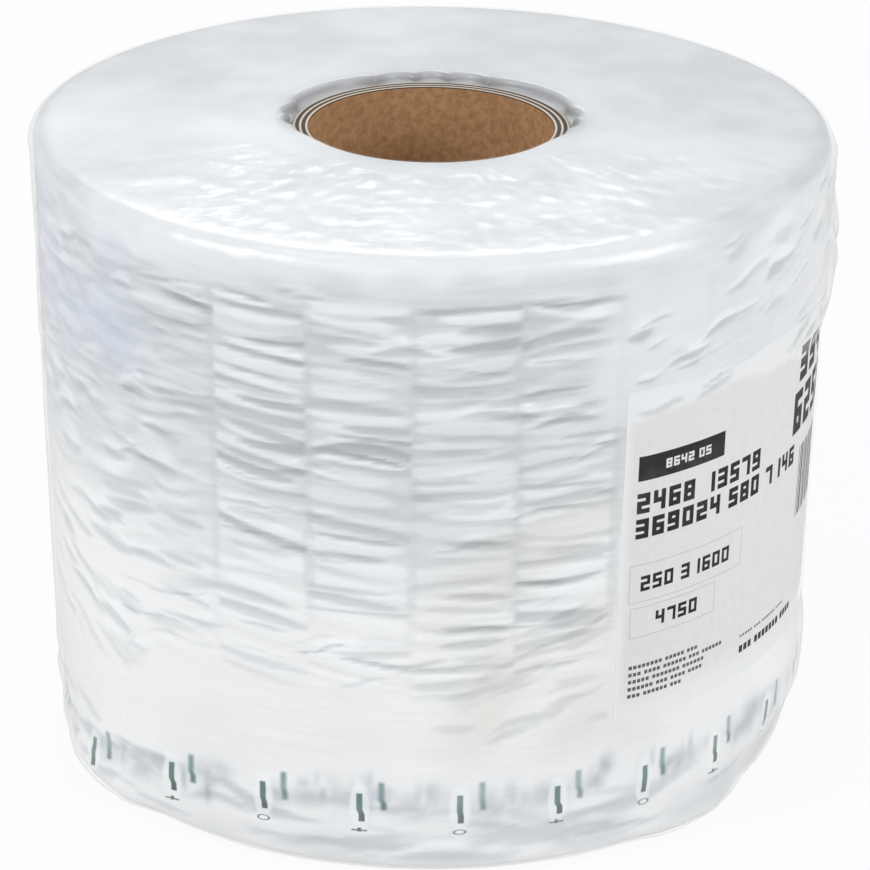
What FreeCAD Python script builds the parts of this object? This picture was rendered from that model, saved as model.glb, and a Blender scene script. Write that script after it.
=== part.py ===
import FreeCAD, Part
import os
import Sketcher
from FreeCAD import Rotation, Vector

# Roll of flat, uninflated air column film, standing on end.
# The film is wound on a cardboard core, carries a paper label, and is closed in by a clear wrap.
# Millimetres. The origin is the middle of the foot, +Z runs up the roll's axis, and -Y is the front.
# Every angle round the roll is measured from the front, towards +X.

SIZES = [
    ("film_width", 200, "width of the film, which is the roll's height"),
    ("roll_top_diameter", 248, "across the wound film just under its top rim"),
    ("roll_foot_diameter", 240, "across the wound film at its foot, where the turns lie tighter"),
    ("rim_round", 6, "rounding of the turns at the top rim"),
    ("foot_round", 8, "rounding of the turns at the foot"),
    ("mouth_round", 2, "rounding of the film round the mouth of the bore"),
    ("core_bore", 76.2, "inside diameter of the cardboard core"),
    ("core_wall", 4.8, "wall of the core"),
    ("core_top_recess", 2.5, "depth of the core's end below the film at the top"),
    ("core_foot_recess", 2.5, "depth of the core's end inside the film at the foot"),
    ("core_edge", 0.4, "softened edge of the core's cut ends"),
    ("seam_count", 25, "welded seams round one turn of film"),
    ("seam_width", 2, "width of a welded seam"),
    ("seam_depth", 0.4, "depth of a welded seam below the swell of the columns"),
    ("seam_foot", 32, "height of the seams' lower ends above the film's edge"),
    ("seam_head", 14, "depth of the seams' upper ends below the film's edge"),
    ("seam_angle", -2, "angle of the seam nearest the front"),
    ("label_width", 148, "width of the label, round the roll"),
    ("label_height", 109, "height of the label"),
    ("label_sheet", 0.2, "thickness of the label"),
    ("label_foot", 45, "height of the label's lower edge above the film's edge"),
    ("label_angle", 28, "angle of the label's left edge"),
    ("wrap_sheet", 0.3, "thickness of the clear wrap, all its plies together"),
    ("wrap_slack", 0.3, "air between the label and the wrap round the side"),
]

document = FreeCAD.newDocument("air_column_roll")


def fill_sheet():
    sheet = document.addObject("Spreadsheet::Sheet", "Sizes")
    for row, (alias, number, meaning) in enumerate(SIZES, start=1):
        sheet.set(f"A{row}", alias)
        sheet.set(f"B{row}", str(number))
        sheet.set(f"C{row}", meaning)
        sheet.setAlias(f"B{row}", alias)
    document.recompute()
    return sheet


sizes = fill_sheet()

# Heights and radii that several pieces share, as expressions on the sheet.
FILM_FOOT = "Sizes.wrap_sheet"
FILM_HEAD = "(Sizes.wrap_sheet + Sizes.film_width)"
WRAP_HEAD = f"({FILM_HEAD} + Sizes.wrap_sheet)"
FILM_BORE_RADIUS = "(Sizes.core_bore / 2 + Sizes.core_wall)"
ROLL_TOP_RADIUS = "(Sizes.roll_top_diameter / 2)"
ROLL_FOOT_RADIUS = "(Sizes.roll_foot_diameter / 2)"
ROLL_SLOPE = f"(({ROLL_TOP_RADIUS} - {ROLL_FOOT_RADIUS}) / Sizes.film_width)"
CORE_FOOT = f"({FILM_FOOT} + Sizes.core_foot_recess)"
CORE_HEAD = f"({FILM_HEAD} - Sizes.core_top_recess)"
SEAM_FOOT = f"({FILM_FOOT} + Sizes.seam_foot)"
SEAM_HEAD = f"({FILM_HEAD} - Sizes.seam_head)"
LABEL_FOOT = f"({FILM_FOOT} + Sizes.label_foot)"
LABEL_HEAD = f"({LABEL_FOOT} + Sizes.label_height)"


def roll_radius_at(height):
    """Radius of the wound film at a height above the floor, as an expression."""
    return f"({ROLL_FOOT_RADIUS} + ({height} - {FILM_FOOT}) * {ROLL_SLOPE})"


def sheet_on_roll(foot, head, inner, outer):
    """Corners of a thin profile that follows the roll's side, between two distances from it."""
    inside = [(f"{roll_radius_at(height)} + {inner}", height) for height in (foot, head)]
    outside = [(f"{roll_radius_at(height)} + {outer}", height) for height in (head, foot)]
    return inside + outside


def value_of(expression):
    """The number that an expression on the sheet stands for now."""
    return float(sizes.evalExpression(expression))


def origin_feature(body, role):
    return next(item for item in body.Origin.OriginFeatures if item.Role == role)


def add_body(label):
    body = document.addObject("PartDesign::Body", label)
    body.Label = label
    return body


def add_profile(body, name, corners):
    """Closed straight-sided profile in the plane of the axis; each corner is (radius, height)."""
    sketch = body.newObject("Sketcher::SketchObject", name)
    sketch.AttachmentSupport = [(origin_feature(body, "XZ_Plane"), "")]
    sketch.MapMode = "FlatFace"
    points = [Vector(value_of(radius), value_of(height), 0) for radius, height in corners]
    for start, end in zip(points, points[1:] + points[:1]):
        sketch.addGeometry(Part.LineSegment(start, end), False)
    for line in range(len(corners)):
        following = (line + 1) % len(corners)
        sketch.addConstraint(Sketcher.Constraint("Coincident", line, 2, following, 1))
    for line, (radius, height) in enumerate(corners):
        across = Sketcher.Constraint("DistanceX", -1, 1, line, 1, points[line].x)
        up = Sketcher.Constraint("DistanceY", -1, 1, line, 1, points[line].y)
        for constraint, expression, word in ((across, radius, "radius"), (up, height, "height")):
            index = sketch.addConstraint(constraint)
            sketch.renameConstraint(index, f"{word}{line}")
            sketch.setExpression(f"Constraints.{word}{line}", expression)
    sketch.Visibility = False
    return sketch


def add_turned(body, kind, name, profile, angle="360"):
    """Revolution or groove of a profile about the roll's axis."""
    turned = body.newObject(f"PartDesign::{kind}", name)
    turned.Profile = profile
    turned.ReferenceAxis = (profile, ["V_Axis"])
    turned.Midplane = kind == "Groove"
    turned.setExpression("Angle", angle)
    body.Tip = turned
    document.recompute()
    return turned


def rim_edge(shape, radius, height):
    """Name of the circular edge of this radius at this height."""
    for number, edge in enumerate(shape.Edges, start=1):
        if not isinstance(edge.Curve, Part.Circle):
            continue
        miss = abs(edge.Curve.Radius - radius) + abs(edge.Curve.Center.z - height)
        if miss < 1e-4:
            return f"Edge{number}"
    raise ValueError(f"no rim of radius {radius} at height {height}")


def round_rim(body, name, radius, height, rounding):
    base = body.Tip
    fillet = body.newObject("PartDesign::Fillet", name)
    fillet.Base = (base, [rim_edge(base.Shape, value_of(radius), value_of(height))])
    fillet.setExpression("Radius", rounding)
    body.Tip = fillet
    document.recompute()


def add_wound_body(label, bore, spread, foot, head, growth):
    """Rounded, slightly conical ring with the roll's outline.

    bore, foot and head are the ring's own; spread widens the outline, and growth adds to the roundings.
    """
    body = add_body(label)
    foot_radius = f"({roll_radius_at(foot)} + {spread})"
    head_radius = f"({roll_radius_at(head)} + {spread})"
    corners = [(bore, foot), (foot_radius, foot), (head_radius, head), (bore, head)]
    profile = add_profile(body, f"{label}_profile", corners)
    add_turned(body, "Revolution", f"{label}_turned", profile)
    round_rim(body, f"{label}_foot_rim", foot_radius, foot, f"Sizes.foot_round + {growth}")
    round_rim(body, f"{label}_top_rim", head_radius, head, f"Sizes.rim_round + {growth}")
    round_rim(body, f"{label}_foot_mouth", bore, foot, f"Sizes.mouth_round + {growth}")
    round_rim(body, f"{label}_top_mouth", bore, head, f"Sizes.mouth_round + {growth}")
    return body


def turn_to(shape, angle):
    """Turn a piece that was drawn towards +X so that it faces an angle measured from the front."""
    shape.Placement = FreeCAD.Placement(Vector(), Rotation(Vector(0, 0, 1), 1))
    shape.setExpression("Placement.Rotation.Angle", f"{angle} - 90")
    document.recompute()


def make_core_tube():
    """Cardboard core, a little shorter than the film is wide."""
    tube = add_body("core_tube")
    bore_radius = "Sizes.core_bore / 2"
    inside = [(bore_radius, CORE_HEAD), (bore_radius, CORE_FOOT)]
    outside = [(FILM_BORE_RADIUS, CORE_FOOT), (FILM_BORE_RADIUS, CORE_HEAD)]
    profile = add_profile(tube, "core_profile", inside + outside)
    add_turned(tube, "Revolution", "core_turned", profile)
    for name, radius, height in (
        ("foot_inner_edge", bore_radius, CORE_FOOT),
        ("foot_outer_edge", FILM_BORE_RADIUS, CORE_FOOT),
        ("top_inner_edge", bore_radius, CORE_HEAD),
        ("top_outer_edge", FILM_BORE_RADIUS, CORE_HEAD),
    ):
        round_rim(tube, name, radius, height, "Sizes.core_edge")
    return tube


def make_film_roll():
    """All the turns of film as one solid, with the welded seams of the outer turn as shallow grooves."""
    roll = add_wound_body("film_roll", FILM_BORE_RADIUS, "0", FILM_FOOT, FILM_HEAD, "0")
    corners = sheet_on_roll(SEAM_FOOT, SEAM_HEAD, "-Sizes.seam_depth", "Sizes.seam_depth")
    profile = add_profile(roll, "seam_profile", corners)
    seam_spread = f"Sizes.seam_width / {ROLL_TOP_RADIUS} * 180 / pi"
    seam = add_turned(roll, "Groove", "seam", profile, seam_spread)
    seams = roll.newObject("PartDesign::PolarPattern", "seams")
    seams.Originals = [seam]
    seams.Axis = (origin_feature(roll, "Z_Axis"), [""])
    seams.Angle = 360
    seams.setExpression("Occurrences", "Sizes.seam_count")
    roll.Tip = seams
    turn_to(roll, "Sizes.seam_angle")
    return roll


def make_label():
    """Paper label, laid on the outer turn and following its slope."""
    label = add_body("label")
    corners = sheet_on_roll(LABEL_FOOT, LABEL_HEAD, "0", "Sizes.label_sheet")
    profile = add_profile(label, "label_profile", corners)
    label_spread = f"(Sizes.label_width / {roll_radius_at(LABEL_FOOT)} * 180 / pi)"
    add_turned(label, "Revolution", "label_sheet", profile, label_spread)
    label.Tip.Midplane = True
    turn_to(label, f"Sizes.label_angle + {label_spread} / 2")
    return label


def make_wrap():
    """Clear wrap round the side and both ends, tucked into the mouths as far as the core's ends.

    It stands off the side of the roll far enough for the label to lie between the two.
    """
    tuck_radius = f"({FILM_BORE_RADIUS} - Sizes.wrap_sheet)"
    stand_off = "(Sizes.label_sheet + Sizes.wrap_slack)"
    outside_spread = f"({stand_off} + Sizes.wrap_sheet)"
    outside = add_wound_body("wrap_outside", tuck_radius, outside_spread, "0", WRAP_HEAD, "Sizes.wrap_sheet")
    inside = add_wound_body("wrap_inside", FILM_BORE_RADIUS, stand_off, FILM_FOOT, FILM_HEAD, "0")
    open_bore = document.addObject("Part::Cylinder", "open_bore")
    open_bore.setExpression("Radius", FILM_BORE_RADIUS)
    open_bore.setExpression("Height", f"{CORE_HEAD} - {CORE_FOOT}")
    open_bore.setExpression("Placement.Base.z", CORE_FOOT)
    contents = document.addObject("Part::Fuse", "wrap_contents")
    contents.Base = inside
    contents.Tool = open_bore
    wrap = document.addObject("Part::Cut", "wrap")
    wrap.Base = outside
    wrap.Tool = contents
    wrap.Label = "wrap"
    document.recompute()
    return wrap


def check(pieces):
    for item in document.Objects:
        if {"Invalid", "Error"} & set(item.State):
            raise RuntimeError(f"{item.Label} did not recompute: {item.State}")
    for piece in pieces:
        if piece.Shape.isNull() or not piece.Shape.isValid() or len(piece.Shape.Solids) != 1:
            raise RuntimeError(f"{piece.Label} is not one sound solid")


def write(pieces):
    os.makedirs("parts", exist_ok=True)
    for piece in pieces:
        piece.Shape.exportStep(f"parts/{piece.Label}.step")
        print(f"{piece.Label}: {piece.Shape.Volume / 1000:.2f} cm3")


pieces = [make_core_tube(), make_film_roll(), make_label(), make_wrap()]
document.recompute()
check(pieces)
write(pieces)
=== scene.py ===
import math
from functools import partialmethod

import bpy
import numpy as np
from mathutils import Matrix, Vector


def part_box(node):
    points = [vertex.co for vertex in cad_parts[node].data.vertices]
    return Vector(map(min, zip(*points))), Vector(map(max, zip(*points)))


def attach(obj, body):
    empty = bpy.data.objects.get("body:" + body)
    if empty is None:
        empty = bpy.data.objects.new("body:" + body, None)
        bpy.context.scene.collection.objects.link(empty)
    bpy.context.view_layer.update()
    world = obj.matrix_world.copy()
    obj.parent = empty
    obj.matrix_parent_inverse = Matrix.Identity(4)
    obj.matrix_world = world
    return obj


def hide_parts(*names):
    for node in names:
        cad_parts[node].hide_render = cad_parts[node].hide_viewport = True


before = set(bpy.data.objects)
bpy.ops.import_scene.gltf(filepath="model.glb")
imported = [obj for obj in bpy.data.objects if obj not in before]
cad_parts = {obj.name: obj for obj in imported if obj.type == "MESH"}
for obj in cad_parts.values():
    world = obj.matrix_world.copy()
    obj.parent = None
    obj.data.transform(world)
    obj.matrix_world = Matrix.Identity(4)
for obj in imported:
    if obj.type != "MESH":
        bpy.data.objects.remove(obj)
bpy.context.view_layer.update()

mm = 0.001
scene = bpy.context.scene


def cadSpots(nodeName):
    # heights and radii of a CAD node's points
    spots = np.array([v.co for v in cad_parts[nodeName].data.vertices])
    return spots[:, 2], np.hypot(spots[:, 0], spots[:, 1])


def fitSide():
    # the film's straight side: radius as a line over height, from its widest points
    heights, radii = cadSpots("film_roll")
    margin = (filmHigh.z - filmLow.z) * 0.1
    outer = (heights > filmLow.z + margin) & (heights < filmHigh.z - margin) & (radii > radii.max() * 0.9)
    slope, start = np.polyfit(heights[outer], radii[outer], 1)
    return lambda height: start + slope * height


filmLow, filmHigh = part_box("film_roll")
wrapLow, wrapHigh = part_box("wrap")
coreLow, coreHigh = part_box("core_tube")
labelLow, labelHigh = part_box("label")
filmSide = fitSide()
coreRadius = (coreHigh.x - coreLow.x) / 2
boreRadius = float(cadSpots("core_tube")[1].min())

# parts of the side: (from, to, softness) in degrees from the front, and the same in mm of height
regions = dict(
    left=((-112, -64, 18), (12, 190, 12)),
    leftFoot=((-112, -72, 14), (8, 20, 10)),
    rightFoot=((60, 104, 14), (-5, 8, 14)),
    rightLow=((66, 104, 12), (26, 34, 12)),
    aboveLabel=((34, 100, 10), (160, 188, 10)),
    rightHigh=((76, 100, 12), (150, 172, 10)),
    crumple=((31, 100, 14), (151, 190, 9)),  # wrap bunched above the label
    diagonal=((-74, -45, 12), (120, 196, 30)),  # creases under the rim on the left
    overLabel=((30, 100, 3), (54, 140, 6)),
    leftEdge=((-118, -84, 8), (116, 190, 20)),  # where the wrap stands off
    leftShade=((-115, -80, 6), (132, 196, 20)),
    footShade=((34, 80, 16), (0, 12, 8)),
    warm=((8, 30, 14), (48, 112, 18)),
    # painted bluish shade, high on the left
    cool=((-74, -48, 10), (152, 186, 14)),
)
# how far the roll stands out there, in mm
bulges = dict(left=-0.9, leftFoot=-0.8, rightFoot=-2.6, rightLow=1.4, aboveLabel=0.6, rightHigh=1.6)
settled = dict(
    inside=60 * mm, outside=112 * mm, cornerFill=2.5 * mm, rearSag=0.9 * mm,
    sagHeights=(120 * mm, 200 * mm), sagDepths=(10 * mm, 90 * mm))
mouth = dict(
    inner=43.5 * mm, outer=50 * mm, below=1.5 * mm, drawnIn=3.4 * mm, hang=1.2 * mm, scallop=2.6 * mm)
label = dict(
    angle=math.radians(28), width=148 * mm, sheet=0.15 * mm, lift=0.25 * mm, edgeLift=-0.38 * mm, edge=8 * mm,
    grid=2.5 * mm, bunchedRows=(88, 109), veilAtFoot=14 * mm, veilAtSide=3 * mm, roughness=0.6,
    # gloom is painted shade in the folds of the bunched wrap
    tones=dict(dark=(217, 217, 216), light=(221, 221, 220), veil=(231, 233, 235), gloom=(160, 165, 168)),
    inks=dict(
        labelInk=dict(dark=(10, 10, 12), light=(20, 20, 22)),
        labelLine=dict(dark=(188, 188, 186), light=(198, 198, 196)),
        labelGrey=dict(dark=(70, 70, 72), light=(96, 96, 98))))
columns = dict(count=25, width=31 * mm, firstSeam=math.radians(-2.0), head=186.5 * mm, foot=61 * mm)
columnAngle = 2 * math.pi / columns["count"]


def softWaves(spots, size, seed):
    # smooth wandering field, about -1 to 1, with features of the given size
    draw = np.random.default_rng(seed)
    total = np.zeros(spots.shape[:-1])
    count = 9
    for _ in range(count):
        heading = draw.normal(size=3)
        heading *= draw.uniform(0.6, 1.4) / np.linalg.norm(heading) / size * math.pi
        total += np.sin(spots @ heading + draw.uniform(0, 2 * math.pi))
    return total / math.sqrt(count)


def clouds(spots, size, seed, middle=0.5, swing=0.5):
    # soft patches from 0 to 1
    return np.clip(middle + swing * softWaves(spots, size, seed), 0, 1)


def foldWaves(spots, size, seed, headings, count, warp, sharp=1.0):
    # straight folds in several directions, like crumpled film, about -1 to 1
    # warp: how far the folds wander; sharp: 1 creased, 0 rounded
    draw = np.random.default_rng(seed)
    total = np.zeros(spots.shape[:-1])
    for index in range(count):
        heading = np.array(headings[index % len(headings)], float) if headings else draw.normal(size=3)
        heading = heading / np.linalg.norm(heading)
        reach = size * draw.uniform(0.7, 1.5)
        wander = warp * softWaves(spots, size * 2.5, seed * 17 + index)
        phase = spots @ heading / reach + wander + draw.uniform(0, 1)
        crease = np.abs((phase % 1.0) * 2 - 1) * 2 - 1
        total += sharp * crease + (1 - sharp) * np.sin(crease * math.pi / 2)
    return total / math.sqrt(count)


def ramp(values, low, high):
    # smoothly from 0 at low to 1 at high
    x = np.clip((values - low) / (high - low), 0, 1)
    return x * x * (3 - 2 * x)


def atLeast(values, limit, soft=0.2 * mm):
    # keeps values above a limit, with a rounded bend
    over = values - limit
    return limit + (over + np.sqrt(over * over + soft * soft)) / 2


def band(values, low, high, soft):
    # 1 between low and high, falling to 0 over the soft width outside
    return ramp(values, low - soft, low) * (1 - ramp(values, high, high + soft))


def angleBand(angles, low, high, soft):
    return band(np.degrees(angles), low, high, soft)


def region(name, turns, heights):
    # 1 within a part of the side
    angles, levels = regions[name]
    return angleBand(turns, *angles) * band(heights / mm, *levels)


def radiusOf(spots):
    return np.hypot(spots[..., 0], spots[..., 1])


def nearFront(angle):
    # the same angle between -180 and 180 degrees
    return (angle + math.pi) % (2 * math.pi) - math.pi


def outline(look, inner, low, high):
    # profile of a wound ring: (radius, height) points from the upper mouth round to the lower one
    lip, rim, footRim, steps = look["mouthRound"], look["rimRound"], look["footRound"], look["steps"]
    points = []

    def side(height):
        return filmSide(height) + look["standOff"]

    def straight(start, end, count):
        shares = np.linspace(0, 1, count, endpoint=False)
        points.extend(tuple(a + (b - a) * share for a, b in zip(start, end)) for share in shares)

    def arc(centre, radius, start, end, count):
        for turn in np.linspace(math.radians(start), math.radians(end), count, endpoint=False):
            points.append((centre[0] + radius * math.cos(turn), centre[1] + radius * math.sin(turn)))

    lean = math.degrees(math.atan2(side(high) - side(low), high - low))
    topEdge, footEdge = side(high) - rim, side(low) - footRim
    straight((inner, high - look["tuck"]), (inner, high - lip), steps["inner"])
    arc((inner + lip, high - lip), lip, 180, 90, steps["mouth"])
    straight((inner + lip, high), (topEdge, high), steps["top"])
    arc((topEdge, high - rim), rim, 90, -lean, steps["rim"])
    levels = [high - rim, *look["rowLevels"], low + footRim]
    for start, end, count in zip(levels, levels[1:], look["rows"]):
        points.extend((side(height), height) for height in np.linspace(start, end, count, endpoint=False))
    arc((footEdge, low + footRim), footRim, -lean, -90, steps["rim"])
    straight((footEdge, low), (inner + lip, low), steps["foot"])
    arc((inner + lip, low + lip), lip, -90, -180, steps["mouth"])
    straight((inner, low + lip), (inner, low + look["tuck"]), steps["inner"])
    points.append((inner, low + look["tuck"]))
    return np.array(points)


def filledCorner(turns, normals):
    # the foot rim is squarer on both sides of the front
    down = np.clip(-normals[..., 2], 0, 1)
    where = angleBand(turns, -66, -52, 10) + 0.75 * angleBand(turns, 42, 50, 11)
    return settled["cornerFill"] * 2 * down * np.sqrt(1 - down ** 2) * where


def mouthShare(spots):
    # 1 on the edge of the upper mouth, above the core's end
    above = ramp(spots[..., 2], coreHigh.z - mouth["below"], coreHigh.z)
    return above * (1 - ramp(radiusOf(spots), mouth["inner"], mouth["outer"]))


def mouthPush(turns, spots):
    # the film is drawn in over the core's end at the front, and hangs back in scallops behind
    front = ramp(np.cos(turns), -0.2, 0.6)
    scallops = np.abs(np.sin(turns * 7.5 + 1.6 * np.sin(turns * 4)))
    hung = mouth["hang"] + mouth["scallop"] * scallops
    return mouthShare(spots) * (hung * (1 - front) - mouth["drawnIn"] * front)


def settle(turns, spots):
    # the unevenness that the film, the label and the wrap share
    radii = radiusOf(spots)
    outwards = np.zeros(turns.shape)
    for name, amount in bulges.items():
        outwards += amount * mm * region(name, turns, spots[..., 2])
    onSide = ramp(radii, settled["inside"], settled["outside"])
    share = 1 + outwards / filmSide(0) * onSide + mouthPush(turns, spots) / radii
    high = ramp(spots[..., 2], *settled["sagHeights"])
    sag = settled["rearSag"] * ramp(spots[..., 1], *settled["sagDepths"]) * high
    return np.stack([spots[..., 0] * share, spots[..., 1] * share, spots[..., 2] - sag], -1)


def gridFaces(rows, cols, closedRows=False, closedCols=False):
    # a face for each cell of a grid of points; a closed grid joins its last line to its first
    row, col = np.meshgrid(np.arange(rows - 1 + closedRows), np.arange(cols - 1 + closedCols), indexing="ij")
    below, beside = (row + 1) % rows * cols, (col + 1) % cols
    row = row * cols
    return np.stack([row + col, row + beside, below + beside, below + col], -1).reshape(-1, 4)


def newPiece(name, spots, faces, marks):
    # marks: values that the material reads, one for each point
    mesh = bpy.data.meshes.new(name)
    mesh.from_pydata(spots.reshape(-1, 3).tolist(), [], faces.tolist())
    mesh.polygons.foreach_set("use_smooth", np.ones(len(faces), bool))
    for mark, values in marks.items():
        layer = mesh.attributes.new(mark, "FLOAT", "POINT")
        layer.data.foreach_set("value", values.reshape(-1).astype(np.float32))
    piece = bpy.data.objects.new(name, mesh)
    scene.collection.objects.link(piece)
    return piece


def turnedTo(turns, radii, heights):
    # points at the given angles from the front
    return np.stack([radii * np.sin(turns), -radii * np.cos(turns), heights], -1)


def turnedPiece(name, points, around, shift, closed, marks):
    # a profile turned about the axis; shift gives how far each point moves along its normal
    angles = np.linspace(-math.pi, math.pi, around, endpoint=False)
    turns = np.repeat(angles[None], len(points), 0)
    tangents = np.gradient(points, axis=0)
    if closed:
        tangents = np.roll(points, -1, axis=0) - np.roll(points, 1, axis=0)
    outwards = tangents[:, ::-1] * (-1, 1) / np.linalg.norm(tangents, axis=1)[:, None]
    spots = turnedTo(turns, *np.repeat(points.T[..., None], around, 2))
    normals = turnedTo(turns, *np.repeat(outwards.T[..., None], around, 2))
    spots = settle(turns, spots + normals * shift(turns, spots, normals)[..., None])
    faces = gridFaces(len(points), around, closed, True)[:, ::-1]
    return newPiece(name, spots, faces, marks(turns, spots, normals))


class Nodes:
    # a thin way to write node trees line by line
    def __init__(self, tree):
        self.tree = tree

    def feed(self, node, **inputs):
        # inputs by name, or by number after an underscore
        for key, value in inputs.items():
            socket = node.inputs[int(key[1:])] if key[0] == "_" else node.inputs[key.replace("_", " ")]
            if isinstance(value, bpy.types.NodeSocket):
                self.tree.links.new(value, socket)
            else:
                socket.default_value = value
        return node

    def add(self, kind, settings=None, **inputs):
        node = self.tree.nodes.new("ShaderNode" + kind)
        for key, value in (settings or {}).items():
            setattr(node, key, value)
        return self.feed(node, **inputs)

    def math(self, operation, *values, clamp=False):
        inputs = {f"_{index}": value for index, value in enumerate(values)}
        return self.add("Math", dict(operation=operation, use_clamp=clamp), **inputs).outputs[0]

    plus = partialmethod(math, "ADD")
    minus = partialmethod(math, "SUBTRACT")
    times = partialmethod(math, "MULTIPLY")

    def ramp(self, value, low, high, outLow=0.0, outHigh=1.0):
        return self.add(
            "MapRange", dict(interpolation_type="SMOOTHSTEP"), Value=value,
            From_Min=low, From_Max=high, To_Min=outLow, To_Max=outHigh).outputs["Result"]

    def noise(self, vector, scale, detail, roughness=0.5):
        inputs = dict(Vector=vector, Scale=scale, Detail=detail, Roughness=roughness)
        return self.add("TexNoise", **inputs).outputs["Fac"]

    def stretched(self, vector, across, up):
        return self.add("Mapping", Vector=vector, Scale=(across, across, up)).outputs["Vector"]

    def mix(self, share, first, second):
        return self.add("Mix", dict(data_type="RGBA"), _0=share, _6=first, _7=second).outputs[2]

    def bump(self, height, distance, strength):
        return self.add("Bump", Height=height, Distance=distance, Strength=strength).outputs["Normal"]

    def mark(self, name):
        # a value that the mesh carries at each point
        return self.add("Attribute", dict(attribute_name=name)).outputs["Fac"]

    def place(self):
        return self.add("TexCoord").outputs["Object"]

    def group(self, tree, **inputs):
        return self.add("Group", dict(node_tree=tree), **inputs).outputs

    def mixShader(self, share, first, second):
        return self.add("MixShader", _0=share, _1=first.outputs[0], _2=second.outputs[0])

    def show(self, shader):
        self.feed(self.tree.nodes["Material Output"], Surface=shader.outputs[0])


def colours(tones):
    # display colours, 0 to 255, as the linear colours that nodes take
    def linear(value):
        value /= 255
        return value / 12.92 if value <= 0.04045 else ((value + 0.055) / 1.055) ** 2.4

    return {name: (*map(linear, tone), 1.0) for name, tone in tones.items()}


def newMaterial(name):
    material = bpy.data.materials.new(name)
    material.use_nodes = True
    return material, Nodes(material.node_tree), material.node_tree.nodes["Principled BSDF"]


def newGroup(name, inputs, outputs):
    # inputs: a value for each number, None for a vector; outputs: names of numbers
    tree = bpy.data.node_groups.new(name, "ShaderNodeTree")
    for socketName, value in inputs.items():
        socketType = "NodeSocketVector" if value is None else "NodeSocketFloat"
        socket = tree.interface.new_socket(socketName, in_out="INPUT", socket_type=socketType)
        if value is not None:
            socket.default_value = value
    for socketName in outputs:
        tree.interface.new_socket(socketName, in_out="OUTPUT", socket_type="NodeSocketFloat")
    return tree, Nodes(tree), tree.nodes.new("NodeGroupInput").outputs, tree.nodes.new("NodeGroupOutput")


def makeColumnPlace():
    # where a point lies in its column of film: across is -0.5 and 0.5 at the seams
    outputs = ("Across", "Height", "Column")
    tree, nodes, given, out = newGroup("columnPlace", dict(Place=None, Turn=0.0), outputs)
    parts = nodes.add("SeparateXYZ", Vector=given["Place"]).outputs
    angle = nodes.math("ARCTAN2", parts["X"], nodes.times(parts["Y"], -1.0))
    counted = nodes.math("DIVIDE", nodes.minus(angle, columns["firstSeam"]), columnAngle)
    counted = nodes.plus(counted, given["Turn"])
    column = nodes.math("FLOOR", counted)
    across = nodes.minus(nodes.minus(counted, column), 0.5)
    nodes.feed(out, Across=across, Height=parts["Z"], Column=column)
    return tree


columnPlace = makeColumnPlace()
print("shared values and node groups ready")

film = dict(
    around=420, rows=(5, 152, 36), rowLevels=(columns["head"], columns["foot"] - 3 * mm),
    steps=dict(inner=5, mouth=4, top=20, rim=8, foot=7),
    standOff=0, rimRound=6 * mm, footRound=8 * mm, mouthRound=2 * mm, tuck=5.5 * mm,
    pleatDepth=0.9 * mm, seamDepth=0.25 * mm, seamWidth=2.4 * mm, pinch=0.3 * mm, pressed=0.46 * mm,
    roughness=0.35,
    # light and dark are painted highlight and painted shade, the cool tone a painted bluish shade, mouth
    # painted shade in the mouth
    tones=dict(
        tight=(237, 238, 239), loose=(194, 199, 204), streak=(240, 243, 246), pale=(232, 234, 236),
        light=(242, 245, 247), dark=(152, 160, 165), cool=(190, 200, 222), warm=(208, 207, 190),
        seam=(192, 198, 203), mouth=(142, 142, 144), blot=(118, 138, 152), weld=(242, 247, 248),
        deepInkLow=(62, 100, 104), deepInk=(104, 138, 142), inkLow=(0, 46, 38), ink=(34, 98, 82),
        sign=(10, 62, 52)),
    prints=dict(
        columnWidth=30.6 * mm, head=28.2 * mm, foot=18.6 * mm, step=21.8 * mm, barWidth=1.9 * mm,
        sign=15.6 * mm, ringSize=1.8 * mm, ringFlat=2.3, dashHalf=2.4 * mm,
        weldWidth=3.2 * mm, weldHeight=8.5 * mm, deepTurn=-0.22, deepLift=4.2 * mm,
        looseDrift=0.5625, looseDrop=14.2 * mm),
    # strewn folds: angles in degrees from the front; levels, lengths and half widths in mm;
    # how they slope to the right, and how strong their relief, painted highlight and painted shade are
    folds=dict(
        slanting=dict(
            seed=43, count=370, angles=(-135, -26), levels=(42, 190), lengths=(6, 18), widths=(0.8, 2.5),
            slope=0.07, steeper=-0.40, shares=(0.7, 0.8, 0.55)),
        crumpled=dict(
            seed=44, count=84, angles=(28, 112), levels=(146, 194), lengths=(3, 12), widths=(0.5, 2.1),
            slope=0.18, shares=(1, 1, 0.8)),
        foot=dict(
            seed=45, count=60, angles=(-110, 110), levels=(2, 24), lengths=(12, 34), widths=(1.0, 2.6),
            slope=0.05),
        crossing=dict(
            seed=47, count=64, angles=(-46, 30), levels=(66, 190), lengths=(7, 24), widths=(0.4, 1.4),
            slope=0),
        rising=dict(
            seed=48, count=34, angles=(4, 30), levels=(46, 92), lengths=(6, 18), widths=(0.7, 1.9),
            slope=0.28, shares=(0.7, 0.7, 0.7))))
folds, prints = film["folds"], film["prints"]


def columnOf(turns):
    # the number of the column and how far across it, from 0 to 1
    counted = (turns - columns["firstSeam"]) / columnAngle
    number = np.floor(counted)
    return number.astype(int) % columns["count"], counted - number


def drawnShare(draw, across, aside, least):
    # how strong a fold is across its column, 1 at its middle and 0 at its ends
    middle, reach = draw.uniform(-aside, aside), draw.uniform(least, 0.8)
    return np.clip(1 - ((across - middle) / reach) ** 2, 0, 1)


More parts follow.
